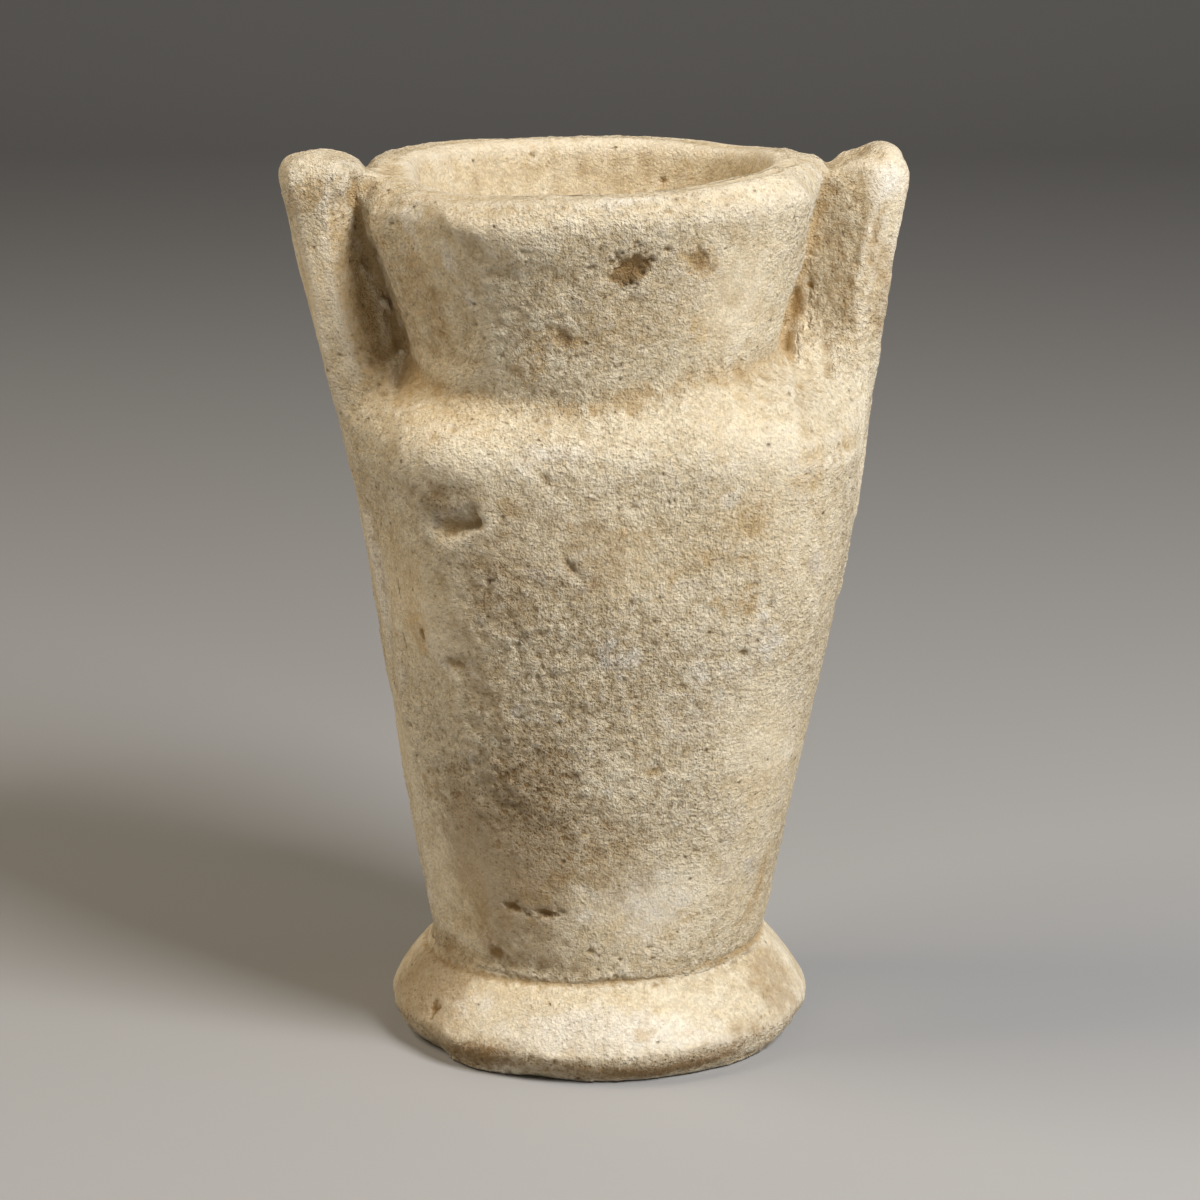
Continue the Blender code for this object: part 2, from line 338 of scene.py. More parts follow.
def spotShare(points, normals, tree, view, first, second, halfLength, halfHeight, turn):
    # 0 in the middle of a spot, 1 at its edge; how far along and up it; and how it faces
    place, normal = findPlace(tree, view, first, second)
    up = awayWay if view == "top" else upWay
    up = (up - normal * up.dot(normal)).normalized()
    right = up.cross(normal)
    angle = math.radians(turn)
    along = right * math.cos(angle) + up * math.sin(angle)
    rise = up * math.cos(angle) - right * math.sin(angle)
    off = points - np.array(place)
    a = off @ np.array(along) / (halfLength * mm)
    b = off @ np.array(rise) / (halfHeight * mm)
    reach = (2.5 + max(halfLength, halfHeight)) * mm
    share = np.sqrt(a * a + b * b)
    share[np.abs(off @ np.array(normal)) > reach] = farOff
    # how it faces: 1 where the surface faces as the place does, falling to 0 before it turns away
    return share, (a, b), unit((normals @ np.array(normal) + 0.05) / 0.4)


def lineShare(points, normals, tree, view, places, halfWidth):
    # 0 on a line over the surface, 1 at its half width, and the share of its length
    found = [findPlace(tree, view, *place) for place in places]
    best = np.full(len(points), farOff)
    along = np.zeros(len(points))
    count = len(found) - 1
    for step in range(count):
        start, end = np.array(found[step][0]), np.array(found[step + 1][0])
        normal = (found[step][1] + found[step + 1][1]).normalized()
        way = end - start
        share = unit((points - start) @ way / (way @ way))
        far = np.linalg.norm(points - start - share[:, None] * way, axis=1) / (halfWidth * mm)
        far[normals @ np.array(normal) < -0.3] = farOff
        closer = far < best
        best[closer] = far[closer]
        along[closer] = (step + share[closer]) / count
    return best, along


# The carving and the damage that have a place of their own. The forms come first, on the bare shape,
# and the marks are cut in the finer skin. A depth below zero stands proud.

carving = {
    # stone that the solid lacks: middle (across, away, level), then the half sizes the same way
    "fills": [
        ((-32, -9.5, 108.5), (4.6, 3.6, 4)),
        ((36.5, -6.5, 103.5), (3.6, 6, 5)),
        ((32, 5, 137.2), (4.6, 7, 2)),
        ((33.4, -6, 136.6), (2.2, 5, 2)),
    ],
    "softSteps": 70,
    # where the joined shapes run smoothly into each other: view, place, half length, half height, turn
    "softer": [
        ("front", -32, 135.6, 4, 4, 0),
        ("front", 33, 138, 4, 3, 0),
    ],
    # flat cuts: what swells out between two lines goes back to the straight way from line to line
    "facets": [
        ([(-27.4, 109), (-27.4, 113.2), (-29, 120.5), (-30.4, 126.5), (-32.4, 133.5), (-33, 137)],
         [(-18.5, 109), (-16.4, 113), (-15.4, 118.3), (-15.8, 123), (-18.2, 129.8), (-22.7, 135.5),
          (-24, 137)],
         0.75),
        ([(-24.4, 18), (-25, 23.1), (-27.5, 36.6), (-28.7, 50.8), (-30.9, 65.1), (-34, 78.6), (-36, 96)],
         [(-15.5, 18), (-16.5, 32), (-18.7, 41), (-19.3, 53.6), (-21.8, 64), (-25.6, 70), (-25.8, 88),
          (-29, 96)],
         0.8),
        ([(32.6, 108), (33.4, 118), (34.6, 128), (36, 135)],
         [(38.6, 108), (39.8, 118), (41.4, 128), (42.2, 135)],
         0.8),
    ],
    # a cut straight back from the view: places, depth, half width to the left and to the right
    "crevices": [
        ("front", [(-36.4, 138), (-35.9, 134.5), (-35, 130.4), (-33.6, 126), (-32.2, 122),
                   (-30.8, 118), (-29.8, 112)], 1.6, 1.6, 0.5),
        ("front", [(32.6, 130), (31.4, 122), (30.4, 113.5)], 1, 0.6, 1.3),
        ("back", [(-33.5, 136), (-32.5, 125), (-31, 113)], 1.2, 1.6, 0.8),
        ("back", [(35, 136), (33, 125), (31.6, 113)], 1.2, 0.8, 1.6),
        ("top", [(-35.2, -13), (-35, -5), (-34.8, 3)], 0.9, 1.3, 1.3),
        ("top", [(36, -8), (36, 0), (36, 8)], 0.5, 1.2, 1.2),
    ],
    # broad swellings and hollows: view, place, half length, half height, turn, depth
    "forms": [
        ("front", -19, 131.4, 3.4, 2, -40, 0.55),
        ("front", -8, 130.8, 8, 3.6, 4, -0.8),
        ("round", 343, 130.5, 7.5, 5.4, 0, 1.9),
        ("round", 343, 119, 7.5, 6.5, 0, 1.3),
        ("round", 343, 136.6, 7.5, 2.6, 0, 0.8),
        ("front", -27.5, 137.3, 6, 1.6, -6, 0.4),
        ("top", 38.6, 3, 2.6, 7, 0, 0.5),
        ("top", 38.6, 10, 2.6, 6, 0, 0.45),
        ("top", 41.6, 3, 2.2, 7, 0, 0.75),
        ("top", 41.6, 10, 2.2, 6, 0, 0.75),
        ("top", 46, 3, 1.6, 8, 0, -0.5),
        ("top", -45.2, -3, 2.6, 8, 0, 0.7),
        ("round", 187, 120, 7, 18, 0, 0.5),
        ("round", 0, 110, 7, 26, 0, 0.35),
        ("front", -21, 93.5, 7, 5, 10, 0.35),
        ("front", -20, 66, 3, 9, 10, 0.35),
    ],
    # how deep a facet may cut, how soon it fades at its ends, and how far off a face may lie to be brought
    # to its knots, with its fade upwards and sideways
    "facetDepth": 6,
    "facetFade": 4,
    "facedReach": 9,
    "facedFade": (2, 1.4),
    "creviceReach": 7,
    # how the edge of a mark wanders: share of its width, size, seed
    "wander": [(0.16, 1.6, 3), (0.10, 0.9, 4)],
    "wanderMost": 0.3,
    # scratches on the front: places, half width, depth, share of the length that fades, steepness
    "markLines": [
        ([(-8.8, 98.4), (-6.2, 95.7)], 0.8, 0.6, 0.4, 1.3),
        ([(-4.6, 84.6), (-2, 80.9)], 0.9, 0.7, 0.4, 1.3),
        ([(4.4, 94.4), (7.5, 96.8)], 0.45, 0.3, 0.3, 1),
        ([(3.5, 94.9), (6.6, 97.3)], 0.4, 0.2, 0.3, 1),
        ([(4.9, 92.7), (6.8, 91.7)], 0.5, 0.35, 0.3, 1),
        ([(-30.8, 79.6), (-30.2, 72), (-29.4, 64.2)], 0.6, 0.4, 0.3, 1),
        ([(33.2, 118), (32.8, 111.6)], 1, -0.5, 0.3, 1),
    ],
    # pits and crumbs on the front: place, half length, half height, turn, depth
    "marks": [
        (-12.6, 26.8, 1.6, 0.9, -8, 0.75),
        (-7.3, 26.2, 2, 0.9, -6, 0.8),
        (-15.4, 18, 1.6, 1.6, 0, 0.35),
        (-26.5, 70.2, 1, 1.6, 10, 0.4),
        (-21.2, 66.7, 2.8, 1.2, -10, 0.22),
        (5.2, 127.9, 3, 2.1, 35, 0.8),
        (15.5, 128.4, 2.6, 1.9, -40, 0.4),
        (-4.3, 117, 2.6, 1.6, -30, 0.4),
        (-25.6, 7.7, 1.3, 1.1, 0, 0.6),
        (9.2, 49.8, 1.3, 0.9, 20, 0.5),
        (5.5, 77.4, 0.7, 0.6, 0, 0.4),
        (9.2, 77.6, 0.7, 0.5, 0, 0.4),
        (23.9, 79, 0.7, 0.6, 0, 0.4),
        (26.6, 75.3, 0.8, 0.6, 0, 0.4),
        (15.2, 64.5, 0.7, 0.6, 0, 0.4),
        (13.6, 63.6, 0.7, 0.5, 0, 0.35),
        (-34, 124, 0.8, 0.7, 0, -0.9),
        (-32, 118.3, 0.7, 1, 20, -1),
        (-29.8, 110.4, 0.8, 0.7, 0, -0.9),
    ],
    # the chisel's notch on the front: place, half length, half height, turn, depth
    "notch": (-20.6, 89, 4.4, 2.5, 17, 1.9),
    # where the foot's slope meets the body: middle level, tilt, bearing of its high side, half width, depth
    "footGroove": (14.3, 1.3, 335, 0.9, 0.6),
    # how its depth drifts: middle, swing, size, seed
    "footGrooveDrift": (0.7, 0.4, 14, 5),
}

# The flat faces at the front, beside the handles and on the left of the neck. Each level has a row of
# (across, away) knots, from left to right.

leftHandleFace = {
    84: [(-36.2, -7), (-34.9, -10.4), (-33.4, -13.6), (-31.6, -17.2), (-29.8, -21), (-26.4, -27.4)],
    88: [(-36.9, -8.4), (-35.6, -11.6), (-34.2, -14.4), (-32.4, -17.8), (-30.4, -21.6), (-27, -27.7)],
    92: [(-37.8, -9), (-36.5, -12.4), (-35, -15.2), (-33, -18.8), (-31, -22.6), (-27.5, -28.1)],
    96: [(-38.8, -9.6), (-37.6, -13.4), (-36, -16.2), (-34, -19.6), (-32, -23.2), (-29, -27.7)],
    100: [(-39.8, -10.4), (-38.5, -13.8), (-36.6, -16.2), (-34.6, -19), (-32.4, -22.4), (-29, -27)],
    104: [(-40.8, -11), (-39.5, -13.8), (-36.4, -15), (-34.4, -16.4), (-32, -18.8), (-29, -22.3)],
    106: [(-41.4, -11.2), (-40.1, -13.9), (-36.4, -14.9), (-34.2, -15.2), (-31.8, -15.8), (-29.2, -17.8)],
    108: [(-42, -11.3), (-40.7, -13.9), (-36.4, -14.8), (-34, -14.4), (-31.6, -14.2), (-29.4, -14.6)],
    111: [(-42.6, -11.3), (-41.3, -13.9), (-37.4, -14.6), (-35, -13.4), (-32.6, -11.6), (-29.4, -10.4)],
    116: [(-43.6, -11.1), (-42.2, -13.8), (-38.4, -14.7), (-36.4, -13.2), (-33.6, -10.6), (-30, -8.8)],
    121: [(-44.2, -11), (-42.9, -13.7), (-39.4, -14.6), (-37.4, -12.8), (-34.8, -10.2), (-31.8, -8.4)],
    130: [(-45.8, -10.4), (-44.5, -13.1), (-40.6, -14.1), (-38.6, -12.6), (-37, -10.6), (-34.8, -8.4)],
    137: [(-47, -10.6), (-45.7, -13.2), (-40.6, -14.6), (-38.8, -13.2), (-37.4, -11), (-36, -8)],
}

rightShoulderFace = {
    96: [(30, -27.7), (33, -25.8), (36, -22.9), (39, -18), (41.4, -11), (42.9, -3)],
    100: [(30, -27.2), (33, -25), (36, -21.6), (39, -16.4), (41.4, -9.4), (43.3, -3)],
    104: [(30, -23.6), (33, -19.6), (36, -14.6), (39, -9.8), (41.4, -6), (43.8, -1.6)],
    108: [(30, -13.6), (33, -8.8), (36, -6.4), (39, -5.2), (41.4, -4), (44.2, -0.4)],
    112: [(29.6, -3.4), (32.4, -2.6), (35.6, -2.9), (39, -3.4), (41.2, -3.4), (44.4, -0.2)],
    116: [(29.8, 0.4), (32.4, 0), (35.6, -1.2), (39, -2.7), (41.2, -3.2), (44, -1)],
}

neckFace = {
    109: [(-28, -13.2), (-27.2, -14.4), (-26.4, -16.2), (-25.6, -17.8), (-24.8, -19.2), (-24, -20.6)],
    114: [(-29, -11.8), (-28.2, -14.2), (-27.2, -16.4), (-26.2, -17.8), (-25.2, -19.2), (-24, -20.6)],
    118: [(-30.2, -11.8), (-29.2, -14.6), (-28, -17.2), (-26.8, -19.2), (-25.6, -20.6), (-24, -22.2)],
    122: [(-31.6, -12.2), (-30.6, -15.2), (-29.2, -17.6), (-27.6, -19.8), (-26, -21.8), (-24, -23.7)],
    126: [(-33, -12.6), (-32, -15.8), (-30.4, -18.2), (-28.6, -20.4), (-26.4, -23), (-24, -25.4)],
    131: [(-34.5, -12.6), (-33.5, -15.8), (-31.6, -18.4), (-29.6, -20.6), (-27, -23.6), (-24, -26.8)],
    135: [(-35.2, -11.6), (-34.2, -14.4), (-32.4, -17.2), (-30, -19.6), (-27, -23.2), (-24, -27.2)],
}


def footGrooveLevel(bearing):
    level, tilt, highSide = carving["footGroove"][:3]
    return level + tilt * math.cos(math.radians(bearing - highSide))


# The foot

foot = {
    # a low upright band, a soft arris, and a straight slope up to the body: (level, radius)
    "profile": [(0.0, 27.9), (0.5, 29.7), (1.0, 31.0), (2.0, 32.4), (3.4, 33.2), (4.9, 33.5),
                (5.9, 33.1), (8.0, 31.9), (10.0, 30.5), (12.0, 28.9), (14.2, 26.9), (16.5, 26.5)],
    "slices": 33,
    "wave": (0, 0.5, 24, 9),  # how the levels drift: middle, swing, size, seed
    "soleLevel": 0.05,
    "coreRadius": 22,  # nothing nearer the middle is part of the foot's side
    "blendRadius": 24.5,
    "blendHeight": 2.0,
}


def shapeFoot(piece):
    points = pointsOf(piece.data)
    level = points[:, 2] / mm
    radius = np.hypot(points[:, 0], points[:, 1]) / mm
    top = foot["profile"][-1][0]
    sole = level <= foot["soleLevel"]
    side = (level < top) & ~sole & (radius > foot["coreRadius"])
    which = np.digitize(level, np.linspace(0, top, foot["slices"] + 1))
    middles, means = [], []
    for step in range(1, foot["slices"] + 1):
        here = side & (which == step)
        if here.any():
            middles.append(level[here].mean())
            means.append(radius[here].mean())
    now = np.interp(level, middles, means)
    wave = drift(points * np.array((1, 1, 0)), *foot["wave"])
    wanted = np.interp(level + wave, *zip(*foot["profile"]))
    fade = unit((top - level) / foot["blendHeight"])
    fade *= unit(radius - foot["blendRadius"])
    grow = np.where(side, (wanted - now) / np.maximum(radius, 1) * fade, 0)
    grow = np.where(sole, foot["profile"][0][1] / means[0] - 1, grow)
    points[:, :2] *= (1 + grow)[:, None]
    setPoints(piece.data, points)
    print("foot's profile")


def sharpen(piece, steps, strength, most, levels):
    # gives back the edges that the melting took, in full above the second level
    mesh = piece.data
    points = pointsOf(mesh)
    change = (points - blurred(mesh, points, steps)[-1]) * strength
    size = np.linalg.norm(change, axis=1)
    change *= np.minimum(1, most * mm / np.maximum(size, 1e-9))[:, None]
    change *= unit((points[:, 2] / mm - levels[0]) / (levels[1] - levels[0]))[:, None]
    setPoints(mesh, points + change)


def addFills(piece):
    work = bmesh.new()
    work.from_mesh(piece.data)
    for middle, halves in carving["fills"]:
        ball = bmesh.ops.create_icosphere(work, subdivisions=3, radius=1)["verts"]
        for point in ball:
            a, b, c = (side * half for side, half in zip(point.co, halves))
            point.co = fromPhoto(middle[0] + a, middle[1] + b, middle[2] + c)
    work.to_mesh(piece.data)
    work.free()


def flatten(points, normals, tree, left, right, strength):
    # lays the part of the front between two lines back to the straight way between them
    away, across = points @ np.array(awayWay), points @ np.array(rightWay)
    level = points[:, 2]
    sides = []
    for line in (left, right):
        places = sorted((findPlace(tree, "front", *place)[0] for place in line), key=lambda place: place.z)
        levels = [place.z for place in places]
        sides.append([np.interp(level, levels, [place.dot(way) for place in places])
                      for way in (rightWay, awayWay)])
    (leftAcross, leftAway), (rightAcross, rightAway) = sides
    share = (across - leftAcross) / (rightAcross - leftAcross)
    target = leftAway + (rightAway - leftAway) * share
    ends = unit(np.minimum(level - levels[0], levels[-1] - level) / (carving["facetFade"] * mm))
    near = (share > 0) & (share < 1) & (away < target) & (away > target - carving["facetDepth"] * mm)
    near &= normals @ np.array(awayWay) < 0.1
    return np.where(near, (target - away) * strength * ends, 0)


def reface(points, normals, rows, reach, fadeUp, fadeAcross):
    # brings the surface to a face given as a row of (across, away) knots at each level
    away, across, level = points @ np.array(awayWay), points @ np.array(rightWay), points[:, 2]
    levels = sorted(rows)
    knots = np.array([rows[row] for row in levels]) * mm
    steps = np.array(levels) * mm
    wide = [[np.interp(level, steps, knots[:, knot, part]) for part in (0, 1)]
            for knot in range(knots.shape[1])]
    target = np.full(len(points), np.nan)
    for (a, b), (c, d) in zip(wide, wide[1:]):
        share = (across - a) / (c - a)
        target = np.where((share >= 0) & (share <= 1), b + (d - b) * share, target)
    fade = unit(np.minimum(level - steps[0], steps[-1] - level) / (fadeUp * mm))
    fade *= unit(np.minimum(across - wide[0][0], wide[-1][0] - across) / (fadeAcross * mm))
    near = ~np.isnan(target) & (np.abs(away - target) < reach * mm) & (normals @ np.array(awayWay) < 0)
    return np.where(near, (np.nan_to_num(target) - away) * fade, 0)


def cutBack(points, normals, tree, view, places, depth, leftWidth, rightWidth):
    # how far a cut straight back from the view goes at every point
    aim = np.array({"front": awayWay, "back": -awayWay, "top": -upWay}[view])
    side = np.array(rightWay)
    found = [np.array(findPlace(tree, view, *place)[0]) for place in places]
    up = np.cross(aim, side)
    best = np.full(len(points), farOff)
    for start, end in zip(found, found[1:]):
        way = (end - start) - aim * ((end - start) @ aim)
        share = unit((points - start) @ way / (way @ way))
        off = points - start - share[:, None] * way
        off -= (off @ aim)[:, None] * aim
        width = np.where(off @ side < 0, leftWidth, rightWidth) * mm
        depthAway = (points - start - share[:, None] * (end - start)) @ aim
        far = np.hypot(off @ side, off @ up) / width
        far[np.abs(depthAway) > carving["creviceReach"] * mm] = farOff
        best = np.minimum(best, far)
    facing = unit(-(normals @ aim) / 0.15)
    return depth * mm * facing * unit(1 - best), aim


def cutLines(points, normals, tree, lines, wander):
    sink = np.zeros(len(points))
    for places, halfWidth, depth, fade, steep in lines:
        share, along = lineShare(points, normals, tree, "front", places, halfWidth)
        ends = unit(np.minimum(along, 1 - along) / fade)
        amount = unit(1 - share * (1 + wander)) ** steep
        sink += depth * amount * (0.3 + 0.7 * ends)
    return sink


def carveForms(piece, tree):
    points, normals = surfaceOf(piece)
    soft = blurred(piece.data, points, carving["softSteps"])[-1]
    for spot in carving["softer"]:
        share, _, facing = spotShare(points, normals, tree, *spot)
        points += (soft - points) * unit(1.5 - share)[:, None] * unit(facing * 3)[:, None]
    sink = np.zeros(len(points))
    for *spot, depth in carving["forms"]:
        share, _, facing = spotShare(points, normals, tree, *spot)
        sink += depth * facing * unit(1 - (share / 1.5) ** 2) ** 2
    points -= normals * (sink * mm)[:, None]
    for left, right, strength in carving["facets"]:
        points += flatten(points, normals, tree, left, right, strength)[:, None] * np.array(awayWay)
    for rows in (leftHandleFace, rightShoulderFace, neckFace):
        brought = reface(points, normals, rows, carving["facedReach"], *carving["facedFade"])
        points += brought[:, None] * np.array(awayWay)
    setPoints(piece.data, points)
    print("carving:", len(carving["forms"]) + len(carving["facets"]), "forms")


def carveCrevices(piece, tree):
    points, normals = surfaceOf(piece)
    for crevice in carving["crevices"]:
        depth, aim = cutBack(points, normals, tree, *crevice)
        points += depth[:, None] * aim
    setPoints(piece.data, points)
    print("carving:", len(carving["crevices"]), "crevices")


def carveMarks(piece, tree):
    points, normals = surfaceOf(piece)
    wander = sum(part * ripple(points, size, seed) for part, size, seed in carving["wander"])
    wander = np.clip(wander, -carving["wanderMost"], carving["wanderMost"])
    sink = cutLines(points, normals, tree, carving["markLines"], wander)
    for *spot, depth in carving["marks"]:
        share, _, facing = spotShare(points, normals, tree, "front", *spot)
        sink += depth * facing * unit(1 - (share * (1 + 1.8 * wander)) ** 2)
    # the notch is deepest at its right end, steep below and sloping above
    *spot, depth = carving["notch"]
    share, (along, up), facing = spotShare(points, normals, tree, "front", *spot)
    length = unit((along + 1) / 1.9) * unit((1 - along) / 0.14)
    wall = np.interp(up + 0.25 * wander, (-0.75, -0.42, -0.2, 1.0), (0, 0.9, 1, 0))
    sink += depth * facing * length * wall * (share < farOff)
    halfWidth, depth = carving["footGroove"][3:]
    ring = [(bearing, footGrooveLevel(bearing)) for bearing in range(0, 361, 12)]
    share = lineShare(points, normals, tree, "round", ring, halfWidth)[0]
    sink += depth * unit(1 - share * (1 + 2 * wander)) * drift(points, *carving["footGrooveDrift"])
    setPoints(piece.data, points - normals * (sink * mm)[:, None])
    print("carving:", len(carving["markLines"]) + len(carving["marks"]) + 2, "marks")


# Crumbs of soil that cling in the crevice beside the left handle

crumbs = {
    "crevice": [(-34.9, 130.0), (-33.2, 125.0), (-31.2, 118.5), (-30.0, 112.0)],
    "halfWidth": 1.1,
    "perSquareCm": 60.0,
    "size": 0.75,
    "seed": 7,
}


def crumbTree(material):
    takes = ("Geometry", "Per Square Metre", "Crumb Size", "Seed")
    tree, given = newTree("soil crumbs", "GeometryNodeTree", takes, ["Geometry"])
    density = times(tree, storedMask(tree, "crumbArea"), given["Per Square Metre"])
    dots = put(tree, "GeometryNodeDistributePointsOnFaces",
               {"Mesh": given["Geometry"], "Density": density, "Seed": given["Seed"]})
    ball = put(tree, "GeometryNodeMeshIcoSphere", {"Radius": 1.0, "Subdivisions": 2}).outputs["Mesh"]
    spread = put(tree, "FunctionNodeRandomValue", {"Min": (0.25, 0.25, 0.25), "Max": (0.8, 0.6, 0.7),
                 "Seed": given["Seed"]}, data_type="FLOAT_VECTOR").outputs["Value"]
    size = vectorSums(tree, "SCALE", spread, given["Crumb Size"])
    turn = put(tree, "FunctionNodeRandomValue", {"Min": (0, 0, 0), "Max": (6.28, 6.28, 6.28), "Seed": 3},
               data_type="FLOAT_VECTOR").outputs["Value"]
    placed = put(tree, "GeometryNodeInstanceOnPoints",
                 {"Points": dots.outputs["Points"], "Instance": ball, "Rotation": turn, "Scale": size})
    both = put(tree, "GeometryNodeJoinGeometry")
    tree.links.new(placed.outputs["Instances"], both.inputs["Geometry"])
    tree.links.new(given["Geometry"], both.inputs["Geometry"])
    return endTree(tree, both.outputs["Geometry"], material)


def addNodes(piece, tree, values):
    change = piece.modifiers.new(tree.name, "NODES")
    change.node_group = tree
    named = {item.name: item.identifier for item in tree.interface.items_tree
             if item.item_type == "SOCKET" and item.in_out == "INPUT"}
    for name, value in values.items():
        change[named[name]] = value
    settle(piece)


def addCrumbs(piece, tree, material):
    points, normals = surfaceOf(piece)
    share = lineShare(points, normals, tree, "front", crumbs["crevice"], crumbs["halfWidth"])[0]
    setMask(piece.data, "crumbArea", unit(1.3 - share))
    addNodes(piece, crumbTree(material), {
        "Per Square Metre": crumbs["perSquareCm"] * 1e4,
        "Crumb Size": crumbs["size"] * mm,
        "Seed": crumbs["seed"],
    })
    print("crumbs in the left crevice")


# The skin's relief: hand carving, sand grain and pits, all over the stone

relief = {
    "Broad Depth": 0.30,
    "Lump Depth": 0.55,
    "Grain Depth": 0.46,
    "Pit Depth": 0.60,
    "Ridge Depth": 0.30,
    "Chisel Depth": 0.25,
    "Noise Seed": 11.0,
    "broadSize": 16,
    "lumpSize": 4.2,
    "grainSize": 1.25,
    "ridgeSize": 3.4,
    "chiselSize": 3.6,
    "pits": [(3.8, 0.20), (2.1, 0.32)],  # size of the cells, share that are pits
    # how rough the stone is: middle, swing, size, seed; then one value each
    "stoneRough": (0.55, 0.22, 30, 21),
    "footRough": (0.2, 0.1, 20, 22),
    "footBandRough": 0.7,
    "hollowRough": 0.25,
    "soleRough": 0.25,
    # across, level, half length, half height, turn, how much rougher (below zero it is calmer)
    "rougher": [
        (-6, 60, 15, 34, 0, 0.65),
        (0, 123, 17, 12, 0, 0.45),
        (39, 121, 4.5, 17, 8, 0.3),
        (20, 121, 9, 14, 0, -0.5),
        (-17, 80, 8, 20, 8, 0.2),
        (14, 44, 9, 10, -30, 0.5),
        (18, 62, 14, 30, 0, 0.1),
        (-32, 60, 6, 46, 8, -0.35),
        (-26, 122, 6, 15, -8, -0.35),
        (9, 27, 9, 8, 0, -0.45),
        (-43, 125, 4, 16, 8, -0.25),
        (43.5, 124, 3.5, 16, -8, -0.35),
    ],
    # where chisel ridges show: across, level, half length, half height, turn
    "tooled": (-6, 121, 12, 11, -12),
    "footBand": 5.0,
    "soleWear": 0.5,
    "soleWearHeight": 1.3,
    "hollowFrom": 35,
    "hollowRadius": 33.5,
    "hollowFloorRadius": 12,
}

reliefDepths = [name for name in relief if name.endswith("Depth")]


def reliefTree(material):
    takes = ("Geometry", *reliefDepths, "Noise Seed")
    tree, given = newTree("stone relief", "GeometryNodeTree", takes, ["Geometry"])
    place = put(tree, "GeometryNodeInputPosition").outputs[0]
    seed = given["Noise Seed"]

    def swing(value):
        # a noise centred on nothing
        return timesPlus(tree, value, 2.0, -1.0)

    rough = storedMask(tree, "rough")
    broad = swing(cloud(tree, place, relief["broadSize"], 1.5, 0.4, seed))
    lump = swing(cloud(tree, place, relief["lumpSize"], 2.0, 0.5, seed))
    grain = swing(cloud(tree, place, relief["grainSize"], 2.0, 0.6, seed))
    ridges = swing(cloud(tree, place, relief["ridgeSize"], 2.0, 0.55, seed, (0.55, 0.55, 2.6)))
    flutes = swing(cloud(tree, place, relief["chiselSize"], 1.0, 0.4, seed, (1.0, 1.0, 0.14)))

    # pits: bent cells, each with a bowl of its own size, more of them where the stone is rough
    low = vectorSums(tree, "MULTIPLY", place, (1.0, 1.0, 1.5))
    warp = vectorSums(tree, "SCALE", cloud(tree, place, 1.6, 1.0, 0.5, seed), 0.9 * mm)
    bent = vectorSums(tree, "ADD", low, warp)
    pits = 0.0
    for size, share in relief["pits"]:
        cells = put(tree, "ShaderNodeTexVoronoi", {"Vector": bent, "Scale": 1 / (size * mm)})
        parts = put(tree, "ShaderNodeSeparateXYZ", {0: cells.outputs["Color"]}).outputs
        radius = ramp(tree, parts[0], 0, 1, 0.12, 0.30)
        bowl = ramp(tree, sums(tree, "DIVIDE", cells.outputs["Distance"], radius), 1.0, 0.25)
        chance = times(tree, rough, share)
        kept = sums(tree, "LESS_THAN", parts[1], chance)
        deep = times(tree, bowl, times(tree, kept, size / relief["pits"][0][0]))
        pits = sums(tree, "ADD", pits, deep)

    height = times(tree, broad, given["Broad Depth"])
    layers = (
        (lump, "Lump Depth", rough),
        (grain, "Grain Depth", rough),
        (ridges, "Ridge Depth", storedMask(tree, "tooled")),
        (flutes, "Chisel Depth", storedMask(tree, "inner")),
        (pits, "Pit Depth", -1.0),
    )
    for value, amount, area in layers:
        part = times(tree, value, given[amount])
        height = timesPlus(tree, part, area, height)
    push = vectorSums(tree, "SCALE", put(tree, "GeometryNodeInputNormal").outputs[0], height)
    moved = put(tree, "GeometryNodeSetPosition", {"Geometry": given["Geometry"], "Offset": push})
    return endTree(tree, moved.outputs[0], material)


def innerShare(points, normals):
    # 1 on the wall and floor of the hollow
    outward = points.copy()
    outward[:, 2] = 0
    radius = np.linalg.norm(outward, axis=1)
    facing = np.sum(normals * outward, axis=1) / np.maximum(radius, 1e-6)
    floor = (radius < relief["hollowFloorRadius"] * mm) & (normals[:, 2] > 0.3)
    within = (points[:, 2] > relief["hollowFrom"] * mm) & (radius < relief["hollowRadius"] * mm)
    return (((facing < -0.05) | floor) & within).astype(float)


